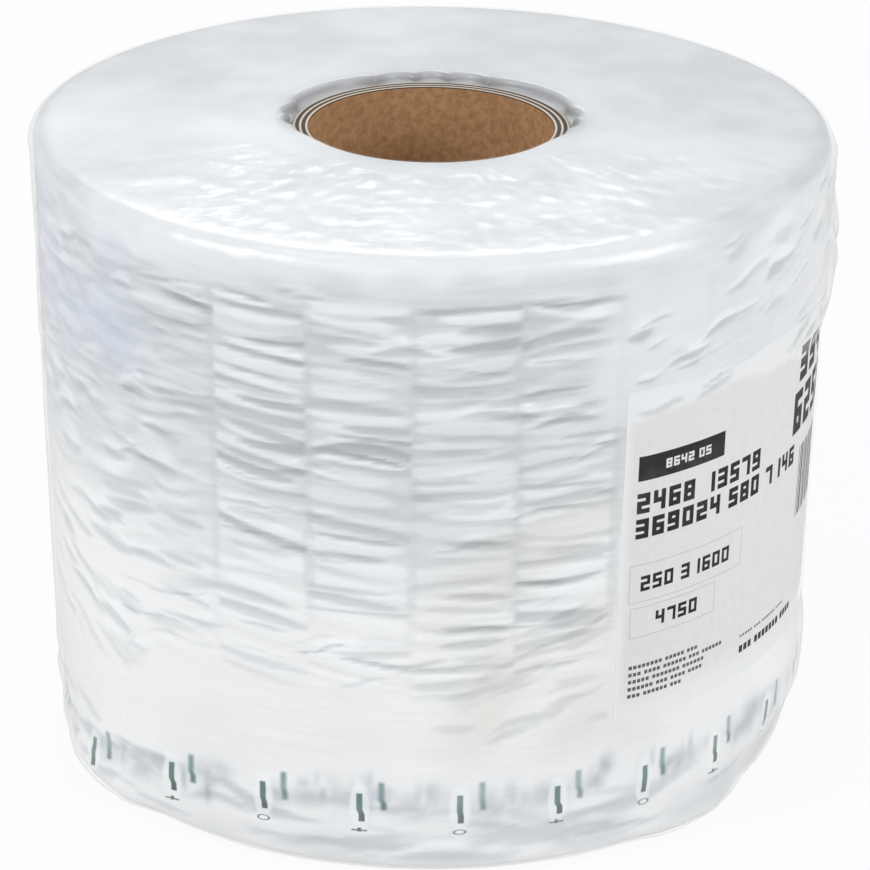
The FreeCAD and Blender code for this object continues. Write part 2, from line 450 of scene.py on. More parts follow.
def stackedPleats(turns, heights):
    # each column is a stack of cross pleats, troughs with a swelling above each,
    # out of step with its neighbours; painted highlight on the swellings, painted shade in the troughs
    number, along = columnOf(turns)
    pleats = np.zeros((3,) + turns.shape)
    draw = np.random.default_rng(41)
    head, foot = columns["head"], columns["foot"]
    for column in range(columns["count"]):
        inColumn = number[0] == column
        across, height = along[:, inColumn] - 0.5, heights[:, inColumn]
        relief, light, dark = np.zeros((3,) + across.shape)
        middleAngle = nearFront(columns["firstSeam"] + (column + 0.5) * columnAngle)
        lean = draw.uniform(-0.03, 0.03) - 0.07 * float(angleBand(middleAngle, -110, -15, 20))
        level = foot - draw.uniform(2, 8) * mm
        while level < head:
            high = (level - foot) / (head - foot)
            slope = (lean + draw.normal(0, 0.06)) * columns["width"]
            bow = draw.normal(-0.2, 0.8) * mm
            off = height - (level + slope * across + bow * (across * 2) ** 2)
            gloom = draw.uniform(0.1, 1.0) ** 1.2 * (0.55 + 0.45 * high)
            half = draw.uniform(0.4, 1.7) * mm
            share = drawnShare(draw, across, 0.3, 0.3)
            trough = np.exp(-np.abs(off / (half * (0.4 + 0.6 * share) + 0.3 * mm)) ** 2.4) * share ** 0.5
            swell = draw.uniform(1.0, 3.2) * mm
            rise = half + swell
            glow = draw.uniform(0.25, 1.0)
            share = drawnShare(draw, across, 0.2, 0.4)
            crest = np.exp(-np.abs((off - rise) / (swell * (0.4 + 0.6 * share))) ** 3) * share ** 0.5
            relief += 0.45 * mm * crest - film["pleatDepth"] * gloom * trough
            light = np.maximum(light, glow * ramp(crest, 0.25, 0.75))
            dark = np.maximum(dark, gloom * ramp(trough, 0.2, 0.7))
            level += draw.uniform(0.55, 1.1) * (half + rise + swell * 0.6)
        pleats[:, :, inColumn] = atLeast(relief, -1.3 * mm, 0.4 * mm), light, dark
    return pleats


def strewnFolds(
        turns, heights, seed, count, angles, levels, lengths, widths, slope, steeper=0, shares=(1, 1, 1)):
    # single folds, each a trough with a swelling over it, steeper low on the left; painted highlight on the
    # swelling, painted shade in the trough
    relief, light, dark = np.zeros((3,) + turns.shape)
    draw = np.random.default_rng(seed)
    radius = filmSide(100 * mm)
    around = turns * radius
    wander = softWaves(np.stack([around, 1.5 * heights, 0 * heights], -1), 11 * mm, seed)
    for _ in range(count):
        angle, level = math.radians(draw.uniform(*angles)), draw.uniform(*levels) * mm
        length = draw.uniform(*lengths) * mm
        steep = float(ramp(-level / mm, -105, -75) * ramp(-angle, 0.7, 0.95))
        rise = slope + steeper * steep + draw.normal(0, 0.09)
        bow = draw.normal(0, 0.07) / length
        strength = draw.uniform(0.25, 1.0)
        away = around - angle * radius
        off = heights - level - rise * away - bow * away ** 2 + 0.9 * mm * wander
        share = np.clip(1 - (away / length) ** 2, 0, 1)
        width = draw.uniform(*widths) * mm * (0.35 + 0.65 * share)
        trough = np.exp(-np.abs(off / width) ** 2.2) * share * strength
        crest = np.exp(-((off - 2.1 * width) / (1.4 * width)) ** 2) * share * strength
        relief += 0.45 * mm * crest - 0.7 * mm * trough
        reach = 0.15 * strength, 0.8 * strength
        light = np.maximum(light, strength * ramp(crest, *reach))
        dark = np.maximum(dark, strength * ramp(trough, *reach))
    relief = np.clip(relief, -1.2 * mm, 0.8 * mm)
    return [values * share for values, share in zip((relief, light, dark), shares)]


def filmFolds(turns, spots):
    # all kinds of folds together: their relief, their painted highlight and their painted shade
    heights = spots[..., 2]
    left = angleBand(turns, -135, -45, 18)
    # the pleats end in an arc, lowest at the front, and reach further down on the left
    arcFoot = columns["foot"] + 4 * mm * np.clip(np.abs(np.degrees(turns)) / 45, 0, 2)
    arcFoot -= 20 * mm * angleBand(turns, -120, -52, 12)
    zone = ramp(heights, arcFoot - 4 * mm, arcFoot + 5 * mm)
    zone = zone * (1 - ramp(heights, columns["head"] - 3 * mm, columns["head"] + 1 * mm))
    crumple = crumpleZone(turns, spots)
    bare = 1 - underLabel(turns, heights)
    strewn = [strewnFolds(turns, heights, **kind) for kind in folds.values()]
    mixed = []
    for stacked, slanting, bunched, streaks, crossing, rising in zip(stackedPleats(turns, heights), *strewn):
        pleats = (stacked * (1 - left) + slanting * left) * zone + 0.6 * (crossing + rising)
        mixed.append((pleats * (1 - crumple) + 0.65 * streaks + bunched * crumple) * bare)
    return mixed


def underLabel(turns, heights):
    # where the film lies pressed flat by the label
    start = math.degrees(label["angle"])
    end = start + math.degrees(label["width"] / filmSide(labelLow.z))
    across = angleBand(turns, start - 0.4, end + 0.4, 1.5)
    return across * band(heights, labelLow.z - 1 * mm, labelHigh.z + 1 * mm, 2 * mm)


def crumpleZone(turns, spots):
    # where the wrap is bunched above the label
    ragged = softWaves(spots, 18 * mm, 33)
    return region("crumple", turns + 0.10 * ragged, spots[..., 2] + 4 * mm * ragged)


def lowBand(spots):
    # 1 below the pleats, with a ragged upper edge
    return 1 - ramp(spots[..., 2] + 6 * mm * softWaves(spots, 25 * mm, 35), 34 * mm, 76 * mm)


def sideShare(spots, normals):
    # 1 on the side of the roll, 0 on its ends and in its bore
    return ramp(1 - np.abs(normals[..., 2]), 0.3, 0.8) * (radiusOf(spots) > 100 * mm)


def seamShow(turns, spots):
    # the seams are hard to see low down, and on the left under the slanting folds
    level = spots[..., 2] + 9 * mm * softWaves(spots * (1, 1, 0.6), 20 * mm, 53)
    return (1 - 0.8 * angleBand(turns, -150, -42, 14)) * (0.2 + 0.8 * ramp(level / mm, 66, 100))


def filmShift(turns, spots, normals):
    _, along = columnOf(turns)
    fromSeam = np.minimum(along, 1 - along) * columnAngle * radiusOf(spots)
    heights = spots[..., 2]
    welded = band(heights, 40 * mm, columns["head"], 14 * mm)
    seam = -film["seamDepth"] * np.exp(-(fromSeam / film["seamWidth"]) ** 2) * welded * seamShow(turns, spots)
    crown = -film["pinch"] * (np.abs(along - 0.5) * 2) ** 3 * welded
    slack = 0.25 * mm * softWaves(spots, 45 * mm, 5) + 0.12 * mm * softWaves(spots * (1, 1, 2), 14 * mm, 6)
    side = seam + crown + filmFolds(turns, spots)[0] + slack - 0.5 * mm
    side = -atLeast(-side, -0.2 * mm)
    flat = underLabel(turns, heights)
    side = side * (1 - flat) - film["pressed"] * flat
    return sideShare(spots, normals) * side + filledCorner(turns, normals)


def printBlots(turns, heights):
    # prints of the deeper turns, too soft to have edges
    blots = np.zeros(turns.shape)
    draw = np.random.default_rng(47)
    for _ in range(columns["count"] * 14):
        away = np.degrees(nearFront(turns - draw.uniform(-math.pi, math.pi)))
        wide = draw.choice([0.35, 0.5, 0.9, 2.2]) * draw.uniform(0.7, 1.4)
        tall = draw.uniform(1.8, 5.0) * mm
        off = heights - draw.normal(26.5, 2.0) * mm
        blot = np.exp(-np.abs(away / wide) ** 2.5 - np.abs(off / tall) ** 2.5)
        blots = np.maximum(blots, blot * draw.uniform(0.2, 0.7))
    return blots


def filmMarks(turns, spots, normals):
    heights = spots[..., 2]
    degrees = np.degrees(turns)
    _, light, dark = filmFolds(turns, spots)
    onSide = sideShare(spots, normals)
    # prints wander on the left, where the outer turn is loose: columns aside and metres down
    back = 1 - ramp(-degrees, 68, 125)
    drift = prints["looseDrift"] * np.clip((-degrees - 15) / 45.5, 0, 1.3) ** 2.2 * back
    drop = prints["looseDrop"] * np.clip((-degrees - 10) / 50.5, 0, 1.06) ** 2 * back
    cloud, milk = clouds(spots, 14 * mm, 51, 0.6), clouds(spots, 22 * mm, 52, 0.5, 0.4)
    # painted shade along the left edge, where the wrap stands off, and low on the right near the foot
    shaded = 0.45 * region("leftShade", turns, heights)
    shaded = np.maximum(shaded, 0.35 * region("footShade", turns, heights) * cloud)
    # pale: whiter film under the bunched wrap and in the low band; on the rim and the front of the top it is
    # painted sheen
    pale = np.maximum(crumpleZone(turns, spots) * (0.4 + 0.5 * milk), 0.6 * lowBand(spots) * milk)
    inFront = ramp(normals[..., 2], 0.3, 0.9) * ramp(-spots[..., 1], 0, 60 * mm)
    rim = 0.45 * angleBand(turns, -80, 60, 30) * ramp(heights / mm, 186, 194)
    pale = np.maximum(pale, np.maximum(rim * (1 - inFront), 0.12 * inFront * milk))
    # painted highlight on the front rim, and on the side just under it on the left
    ragged = heights + 2 * mm * softWaves(spots, 12 * mm, 53)
    lit = 0.62 * angleBand(turns, -44, 30, 18) * ramp(ragged / mm, 190.5, 196)
    lit = np.maximum(lit, 0.5 * angleBand(turns, -50, -28, 9) * ramp(heights / mm, 180, 190))
    lit *= ramp(radiusOf(spots) / mm, 112, 119)
    # a painted bluish shade high on the left, and a warm tint left of the label
    warm, cool = [region(name, turns, heights) * cloud for name in ("warm", "cool")]
    blots = printBlots(nearFront(turns + drift * columnAngle), heights + drop)
    return dict(
        light=np.maximum(light * onSide, lit), dark=np.maximum(dark, shaded) * onSide, pale=pale,
        warm=warm, cool=cool, blot=blots * onSide, drift=drift, drop=drop, seams=seamShow(turns, spots),
        # the rear of the upper mouth gets painted shade, where the film hangs over a dark gap
        mouth=mouthShare(spots) * (1 - ramp(np.cos(turns), -0.1, 0.5)))


def makeValvePrint():
    # one printed mark to a column: a bar, a ring or a dash under it, and the clear weld round them
    tree, nodes, given, out = newGroup(
        "valvePrint", dict(Place=None, Turn=0.0, Lift=0.0, Soft=0.3 * mm), ("Bar", "Sign", "Weld", "Along"))
    where = nodes.group(columnPlace, Place=given["Place"], Turn=given["Turn"])
    across = nodes.times(where["Across"], prints["columnWidth"])
    height = nodes.minus(where["Height"], given["Lift"])

    def inside(value, middle, half):
        # 1 within half of the middle, with soft edges
        away = nodes.minus(nodes.math("ABSOLUTE", nodes.minus(value, middle)), half)
        return nodes.minus(0.5, nodes.math("DIVIDE", away, given["Soft"]), clamp=True)

    def length(first, second):
        return nodes.math("SQRT", nodes.plus(nodes.times(first, first), nodes.times(second, second)))

    # the lower third of the bar steps to the right
    stepShare = nodes.ramp(height, prints["step"] - 1 * mm, prints["step"] + 1 * mm, 1.0, 0.0)
    odd = nodes.math("PINGPONG", where["Column"], 1.0)
    shifted = nodes.times(stepShare, nodes.math("MULTIPLY_ADD", odd, 0.4 * mm, 0.3 * mm))
    middle = (prints["head"] + prints["foot"]) / 2
    bar = nodes.times(
        inside(nodes.minus(across, shifted), 0.0, prints["barWidth"] / 2),
        inside(height, middle, (prints["head"] - prints["foot"]) / 2))
    # ring and dash by turns
    fromMiddle = nodes.minus(height, prints["sign"])
    ring = length(across, nodes.times(fromMiddle, prints["ringFlat"]))
    ring = inside(ring, prints["ringSize"], 0.3 * mm)
    dash = nodes.times(inside(across, 0.0, prints["dashHalf"]), inside(fromMiddle, 0.0, 0.25 * mm))
    stem = nodes.times(inside(across, 0.0, 0.6 * mm), inside(fromMiddle, 0.2 * mm, 0.7 * mm))
    sign = nodes.mix(odd, ring, nodes.math("MAXIMUM", dash, stem))
    weld = length(
        nodes.math("DIVIDE", across, prints["weldWidth"]),
        nodes.math("DIVIDE", nodes.minus(height, middle), prints["weldHeight"]))
    nodes.feed(out, Bar=bar, Sign=sign, Weld=nodes.ramp(weld, 0.8, 1.15, 1.0, 0.0), Along=height)
    return tree


valvePrint = makeValvePrint()


def makeFilmMaterial():
    material, nodes, shader = newMaterial("columnFilm")
    place, mark = nodes.place(), nodes.mark
    tones = colours(film["tones"])
    where = nodes.group(columnPlace, Place=place)
    # clear plies look greyer towards the top, where the turns lie looser
    broad = nodes.noise(place, 14.0, 1.0)
    streaks = nodes.noise(nodes.stretched(place, 30.0, 230.0), 1.0, 2.0, 0.6)
    loose = nodes.ramp(nodes.plus(where["Height"], nodes.times(broad, 0.05)), 0.10, 0.17)
    base = nodes.mix(loose, tones["tight"], tones["loose"])

    def paint(share, tone):
        # lays a colour over those before it
        nonlocal base
        base = nodes.mix(share, base, tones[tone])

    paint(nodes.ramp(streaks, 0.35, 0.7, 0.0, 0.35), "streak")
    # the pale share includes painted sheen on the rim and the front of the top
    pale = mark("pale")
    paint(pale, "pale")
    # painted highlight on fold crests and the rim, painted shade in fold troughs and at the edges, painted
    # bluish shade high on the left, and a warm tint
    for name, share in (("light", 0.75), ("dark", 0.85), ("cool", 0.45), ("warm", 0.33)):
        paint(nodes.times(mark(name), share), name)
    # seam lines, a ladder of small teeth
    teeth = nodes.noise(nodes.stretched(place, 30.0, 700.0), 1.0, 1.0)
    edge = nodes.minus(0.5, nodes.math("ABSOLUTE", where["Across"]))
    edge = nodes.plus(edge, nodes.times(nodes.minus(teeth, 0.5), 0.12))
    upper = nodes.ramp(where["Height"], 0.184, 0.188, 1.0, 0.0)
    welded = nodes.times(nodes.ramp(where["Height"], 0.055, 0.1), upper)
    patchy = nodes.times(nodes.ramp(streaks, 0.3, 0.6, 0.25, 1.0), mark("seams"))
    patchy = nodes.times(patchy, nodes.minus(1.0, pale))
    seam = nodes.times(nodes.ramp(edge, 0.02, 0.075, 1.0, 0.0), nodes.times(welded, patchy))
    paint(nodes.times(seam, 0.4), "seam")
    # valve marks: blots of deep turns, a soft set one turn down, and the outer turn's own
    smudge = nodes.noise(place, 90.0, 2.0)
    drift, drop = mark("drift"), nodes.times(mark("drop"), -1.0)
    paint(nodes.times(mark("blot"), nodes.ramp(smudge, 0.25, 0.65, 0.3, 1.0)), "blot")
    clear = nodes.group(valvePrint, Place=place, Turn=drift, Lift=drop, Soft=0.4 * mm)
    paint(nodes.times(clear["Weld"], 0.6), "weld")
    turn, lift = nodes.plus(drift, prints["deepTurn"]), nodes.plus(drop, prints["deepLift"])
    deep = nodes.group(valvePrint, Place=place, Turn=turn, Lift=lift, Soft=1.1 * mm)
    for marks, ink, wornTo, least in ((deep, "deepInk", 0.25, 0.65), (clear, "ink", 0.2, 0.85)):
        upper = nodes.ramp(marks["Along"], prints["step"] - 1 * mm, prints["step"] + 1.5 * mm)
        worn = nodes.times(marks["Bar"], nodes.ramp(smudge, wornTo, 0.6, least, 1.0))
        base = nodes.mix(worn, base, nodes.mix(upper, tones[ink + "Low"], tones[ink]))
    paint(nodes.times(clear["Sign"], 0.95), "sign")
    # painted shade at the rear of the mouth
    paint(mark("mouth"), "mouth")
    normal = nodes.bump(streaks, 0.0016, 0.3)
    nodes.feed(shader, Base_Color=base, Roughness=film["roughness"], IOR=1.5, Normal=normal)
    return material


def makeFilm():
    points = outline(film, coreRadius, filmLow.z, filmHigh.z)
    piece = turnedPiece("wound_film", points, film["around"], filmShift, True, filmMarks)
    piece.data.materials.append(makeFilmMaterial())
    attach(piece, "root")
    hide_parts("film_roll")
    return piece


woundFilm = makeFilm()
print("film roll made:", len(woundFilm.data.polygons), "faces")

board = dict(
    # the gap tone is painted shade between the plies of the cut end
    tones=dict(dark=(160, 120, 82), light=(188, 148, 106), gap=(70, 58, 48), ply=(208, 198, 184)),
    firstPly=0.55 * mm, plyPitch=1.95 * mm, endStart=0.5 * mm, endFull=0.3 * mm, roughness=0.85)


def makeCoreMaterial():
    material, nodes, shader = newMaterial("coreBoard")
    place = nodes.place()
    parts = nodes.add("SeparateXYZ", Vector=place).outputs
    flat = nodes.add("CombineXYZ", X=parts["X"], Y=parts["Y"])
    radius = nodes.add("VectorMath", dict(operation="LENGTH"), _0=flat.outputs[0]).outputs["Value"]
    tones = colours(board["tones"])
    mottle = nodes.noise(place, 420.0, 3.0, 0.7)
    tone = nodes.mix(nodes.ramp(mottle, 0.3, 0.7), tones["dark"], tones["light"])
    # cut end: pale edges of the plies, with painted shade in the gaps between them
    onEnd = nodes.ramp(parts["Z"], coreHigh.z - board["endStart"], coreHigh.z - board["endFull"])
    plies = nodes.times(nodes.minus(radius, boreRadius + board["firstPly"]), 2 * math.pi / board["plyPitch"])
    pale = nodes.ramp(nodes.math("COSINE", plies), 0.1, 0.75)
    tone = nodes.mix(onEnd, tone, nodes.mix(pale, tones["gap"], tones["ply"]))
    normal = nodes.bump(nodes.noise(nodes.stretched(place, 260.0, 60.0), 1.0, 3.0), 0.0004, 0.6)
    nodes.feed(shader, Base_Color=tone, Roughness=board["roughness"], Normal=normal)
    return material


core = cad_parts["core_tube"]
core.data.materials.clear()
core.data.materials.append(makeCoreMaterial())
print("core material set")


def makeLabelMaterials():
    paper, nodes, shader = newMaterial("labelPaper")
    tones = colours(label["tones"])
    grain = nodes.noise(nodes.place(), 400.0, 3.0)
    tone = nodes.mix(nodes.ramp(grain, 0.3, 0.7), tones["dark"], tones["light"])
    tone = nodes.mix(nodes.mark("veil"), tone, tones["veil"])
    # painted shade in the folds where the wrap is bunched over the label
    tone = nodes.mix(nodes.times(nodes.mark("gloom"), 0.85), tone, tones["gloom"])
    nodes.feed(
        shader, Base_Color=tone, Roughness=label["roughness"], Normal=nodes.bump(grain, 0.0001, 0.4))
    materials = [paper]
    for name, inkTones in label["inks"].items():
        ink, nodes, shader = newMaterial(name)
        tone = nodes.mix(nodes.noise(nodes.place(), 300.0, 2.0), *colours(inkTones).values())
        nodes.feed(shader, Base_Color=tone, Roughness=0.7, Specular_IOR_Level=0.15)
        materials.append(ink)
    return materials


def blocks(left, foot, height, words, size, gap):
    # a line of small upright blocks, in words of the given lengths
    bars = []
    for word in words:
        bars += [(left + size * place, foot, size - gap, height) for place in range(word)]
        left += size * (word + 0.6)
    return bars


def numbers(left, foot, height, text, size, stroke):
    # plain numbers built of upright and level strokes
    strokes = "abcdef bc abged abgcd fgbc afgcd afgcde abc abcdefg abcdfg".split()
    bars = []
    wide, half = size * 0.78, height / 2
    for sign in text:
        if sign == " ":
            left += size * 0.5
            continue
        right = left + wide - stroke
        lines = dict(
            a=(left, foot + height - stroke, wide, stroke), d=(left, foot, wide, stroke),
            g=(left, foot + half - stroke / 2, wide, stroke), b=(right, foot + half, stroke, half),
            c=(right, foot, stroke, half), f=(left, foot + half, stroke, half), e=(left, foot, stroke, half))
        bars += [lines[line] for line in strokes[int(sign)]]
        left += size
    return bars


def labelPrint():
    # plain shapes for each ink: (left, foot, width, height) in mm from the label's lower left corner
    black = [(4.5, 80, 33, 8)]
    for line in (
            (4.5, 69.4, 6.6, "2468 13579", 5.6, 1.6), (4.5, 61.2, 6.4, "369024 580 7146", 5.6, 1.6),
            (7, 43.6, 5, "250 31600", 4.3, 1.1), (13, 31, 4.8, "4750", 4.3, 1.1),
            (82, 88, 12, "394", 10, 3.2), (79, 71, 14, "6250", 10, 3.2)):
        black += numbers(*line)
    black += blocks(51.5, 8.4, 2.4, (3, 7, 4), 2.5, 0.6)
    black += [(88 + 1.7 * bar, 40, 0.5 + 0.4 * (bar * 7 % 3), 24) for bar in range(16)]
    lines = []
    for left, foot, width, height in ((3.2, 40, 45.4, 12.3), (3.9, 28.3, 32.8, 9.8)):
        lines += [(left, foot, width, 0.3), (left, foot + height, width, 0.3)]
        lines += [(left, foot, 0.3, height), (left + width, foot, 0.3, height + 0.3)]
    grey = blocks(51.5, 13.8, 0.8, (5, 3, 6, 4), 1.5, 0.5)
    for row, words in enumerate(((3, 6, 3), (6, 3, 4, 4), (5, 7, 6), (3, 4, 6, 3, 6), (8, 5, 3))):
        grey += blocks(4.3, 8.2 + 2.4 * row, 1.2, words, 1.55, 0.4)
    return (1, black), (2, lines), (3, grey), (0, numbers(14, 82.4, 3, "8642 05", 2.8, 0.7))


def gridLines(bars, axis, size, more=()):
    # lines at all edges of the print, and between them where a gap is wider than the label's grid
    edges = [edge for _, bar in bars for edge in (bar[axis], bar[axis] + bar[axis + 2])] + list(more)
    edges = sorted({0.0, size, *(round(edge, 6) for edge in edges if 0 < edge < size)})
    lines = [0.0]
    for start, end in zip(edges, edges[1:]):
        pieces = max(1, math.ceil((end - start) / label["grid"]))
        lines += [start + (end - start) * (share + 1) / pieces for share in range(pieces)]
    return np.array(lines)


def makeLabel():
    bars = [(number, [value * mm for value in bar]) for number, shapes in labelPrint() for bar in shapes]
    height = labelHigh.z - labelLow.z
    across = gridLines(bars, 0, label["width"])
    up = gridLines(bars, 1, height, np.arange(*label["bunchedRows"]) * mm)
    gridU, gridV = np.meshgrid(across, up)
    heights = labelLow.z + gridV
    radii = filmSide(heights)
    angles = label["angle"] + gridU / filmSide(labelLow.z)
    flatSpots = turnedTo(angles, radii, heights)
    bunched = crumpleZone(angles, flatSpots)
    relief, _, gloom = strewnFolds(angles, heights, **folds["crumpled"])
    ripple = 0.04 * mm * softWaves(flatSpots, 26 * mm, 12)
    ripple += 0.5 * bunched * np.clip(relief, -0.6 * mm, 0.5 * mm)
    fromEdge = np.minimum(np.minimum(gridU, label["width"] - gridU), np.minimum(gridV, height - gridV))
    pressed = label["edgeLift"] + (label["lift"] - label["edgeLift"]) * ramp(fromEdge, 0, label["edge"])
    reach = radii + pressed + ripple
    sheets = [settle(angles, turnedTo(angles, reach - depth, heights)) for depth in (0, label["sheet"])]
    front = gridFaces(*gridU.shape)
    index = np.arange(gridU.size).reshape(gridU.shape)
    rim = np.concatenate([index[0], index[1:, -1], index[-1, -2::-1], index[-2:0:-1, 0]])
    following = np.roll(rim, -1)
    edge = np.stack([rim, rim + index.size, following + index.size, following], -1)
    faces = np.concatenate([front, front[:, ::-1] + index.size, edge])
    # the print is a matter of which ink each face has
    middleU, middleV = np.meshgrid((across[1:] + across[:-1]) / 2, (up[1:] + up[:-1]) / 2)
    inks = np.zeros(middleU.shape, int)
    for number, (left, foot, width, tall) in bars:
        inside = (middleU > left) & (middleU < left + width) & (middleV > foot) & (middleV < foot + tall)
        inks[inside] = number
    # the paper pales at its foot and its left side, where more plies of wrap lie over it
    veil = 1 - ramp(np.minimum(gridV / label["veilAtFoot"], gridU / label["veilAtSide"]), 0.1, 1)
    veil = np.maximum(veil, ramp(bunched, 0.1, 0.6))
    # gloom: painted shade of the bunched folds at the top of the label
    marks = dict(veil=np.stack([veil] * 2), gloom=np.stack([bunched * gloom] * 2))
    piece = newPiece("paper_label", np.stack(sheets), faces, marks)
    for material in makeLabelMaterials():
        piece.data.materials.append(material)
    inks = np.concatenate([inks.reshape(-1), np.zeros(len(faces) - inks.size, int)])
    piece.data.polygons.foreach_set("material_index", inks)
    piece.data.set_sharp_from_angle(angle=math.radians(40))
    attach(piece, "root")
    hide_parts("label")
    return piece


paperLabel = makeLabel()
print("label made:", len(paperLabel.data.polygons), "faces")

wrap = dict(
    around=480, rows=(132,), rowLevels=(), steps=dict(inner=3, mouth=5, top=36, rim=8, foot=8),
    standOff=0.75 * mm, rimRound=6.3 * mm, footRound=8.3 * mm, mouthRound=2.3 * mm, tuck=2.6 * mm,
    inBore=0.3 * mm, crinkled=0.26, crinkledLeft=0.07, roughness=0.24, thinHaze=(0.02, 0.06),
    hazeLimit=0.15, bunchedHaze=0.18, dullLimit=0.85,
    # the grey tone is painted shade in the haze
    tones=dict(haze=(239, 241, 244), hollow=(184, 188, 194)),
    # each kind of fold: size, seed, headings, count, how far it wanders and how sharp it is
    folds=dict(
        slack=(34 * mm, 25, None, 7, 0.35, 0.4),
        diagonal=(13 * mm, 22, [(0.3, -0.2, 1.5), (0.5, -0.3, 1.2), (0.1, 0.1, 1.6)], 5, 0.7, 0.3),
        rising=(
            22 * mm, 23, [(-0.3, -0.3, 1.6), (-0.6, -0.5, 1.4), (0.1, 0, 1.8), (0.8, 0.5, 1)], 5, 0.6, 0.4),
        foot=(20 * mm, 24, [(0.1, 0.1, 1.6), (0.35, -0.2, 2), (-0.3, 0.2, 2)], 4, 0.5, 0.4),
        crinkle=(12 * mm, 26, None, 7, 0.6),
        fineCrinkle=(5.5 * mm, 29, None, 5, 0.6)))


def wrapFold(spots, name):
    return foldWaves(spots, *wrap["folds"][name])


def crinkle(spots):
    return wrapFold(spots, "crinkle") + 0.4 * wrapFold(spots, "fineCrinkle")


def wrapZones(turns, spots, normals):
    # where the wrap is creased, crumpled or folded, each from 0 to 1
    radii, heights = radiusOf(spots), spots[..., 2]
    top, under = ramp(normals[..., 2], 0.3, 0.95), ramp(-normals[..., 2], 0.3, 0.95)
    inward = -(normals[..., 0] * spots[..., 0] + normals[..., 1] * spots[..., 1]) / radii
    bore = ramp(inward, 0.2, 0.8)
    front = ramp(-spots[..., 1], 0, 50 * mm) * ramp(radii / mm, 44, 54)
    front = front * ramp(heights, wrapHigh.z - 24 * mm, wrapHigh.z - 12 * mm)
    return dict(
        top=top, under=under, bore=bore, front=front, side=(1 - np.clip(top + under, 0, 1)) * (1 - bore),
        diagonal=region("diagonal", turns, heights), crumple=crumpleZone(turns, spots),
        foot=band(heights, 0, 12 * mm, 14 * mm))


def wrapShift(turns, spots, normals):
    zones = wrapZones(turns, spots, normals)
    side = 0.25 * mm * softWaves(spots, 40 * mm, 21) + 0.2 * mm * wrapFold(spots, "slack")
    side += 0.45 * mm * zones["diagonal"] * wrapFold(spots, "diagonal")
    # folds over the label's upper edge rise to the right
    rising = 0.75 * wrapFold(spots, "rising") + 0.25 * softWaves(spots, 10 * mm, 27)
    bunched = 0.6 * mm * rising + 0.8 * strewnFolds(turns, spots[..., 2], **folds["crumpled"])[0] + 0.4 * mm
    side += zones["crumple"] * bunched + 1.0 * mm * zones["foot"] * wrapFold(spots, "foot")
    side = atLeast(side, -0.3 * mm)
    crinkled = wrap["crinkled"] + wrap["crinkledLeft"] * angleBand(turns, -66, -5, 30)
    crinkled = crinkled * mm * np.abs(crinkle(spots)) * zones["front"]
    top = 0.06 * mm * (1.5 + softWaves(spots, 30 * mm, 28)) + crinkled
    total = zones["side"] * (side + crinkled) + (zones["top"] + 0.3 * zones["under"]) * top
    return total + filledCorner(turns, normals)


def wrapMarks(turns, spots, normals):
    # milky: haze, kept thin; the greyer haze is painted shade, in folds and along the left edge; dull: less
    # shine;
    # ripple: fine unevenness; creased: coarser unevenness
    zones = wrapZones(turns, spots, normals)
    front, side, sideways, heights = zones["front"], zones["side"], spots[..., 0], spots[..., 2]
    cloud, low = clouds(spots, 16 * mm, 31), lowBand(spots)
    crumple, rear = zones["crumple"] * side, zones["top"] * (1 - front)
    overLabel = region("overLabel", turns, heights)
    leftEdge = side * region("leftEdge", turns, heights)
    creased = zones["diagonal"] * side * np.clip(-wrapFold(spots, "diagonal"), 0, 1)
    # whiter haze on the crinkled front of the top: partly stress whitening, partly painted sheen
    whiteningAndSheen = front * np.clip(0.2 + 0.6 * cloud + 0.3 * crinkle(spots), 0, 1) * (1 - 0.5 * side)
    milky = np.maximum(0.15 * whiteningAndSheen, 0.14 * np.maximum(creased, leftEdge))
    milky = np.maximum(milky, low * (0.06 + 0.08 * cloud)) * (1 - overLabel)
    milky = np.maximum(np.clip(milky, 0, wrap["hazeLimit"]), wrap["bunchedHaze"] * crumple)
    _, glint, gloom = strewnFolds(turns, heights, **folds["crumpled"])
    # painted shade in the haze: in the bunched folds, the diagonal creases, along the left edge, in the foot
    # folds and low down
    hollow = crumple * (0.25 + 0.75 * gloom) * (1 - glint) + creased + leftEdge
    hollow += zones["foot"] * np.clip(-1.2 * wrapFold(spots, "foot"), 0, 1)
    hollow += 0.3 * low * clouds(spots * (1, 1, 1.8), 22 * mm, 37, 0, 1)
    # the glitter begins along a slanting line on the left of the top
    beside = front * (1 - ramp(0.92 * sideways - 0.38 * spots[..., 1], -68 * mm, -28 * mm))
    dull = 0.85 * overLabel + 0.8 * (zones["bore"] + mouthShare(spots)) + 0.6 * (rear + leftEdge)
    dull += 0.75 * beside + 0.45 * front * angleBand(turns, -3, 5, 9)
    # and is strongest a little left of the middle
    gentle = np.maximum(ramp(sideways / mm, -20, 60), ramp(-sideways / mm, 66, 96))
    patches = ramp(softWaves(spots, 20 * mm, 36), -0.5, 0.7)
    ripple = 0.25 + 0.75 * np.maximum(front * (0.1 + 0.9 * patches), zones["crumple"]) - 0.2 * rear
    return dict(
        milky=milky, hollow=np.clip(hollow, 0, 1), dull=np.clip(dull, 0, wrap["dullLimit"]),
        ripple=np.clip(ripple * (1 - 0.55 * front * gentle), 0, 1), creased=0.5 * front + 0.7 * crumple)


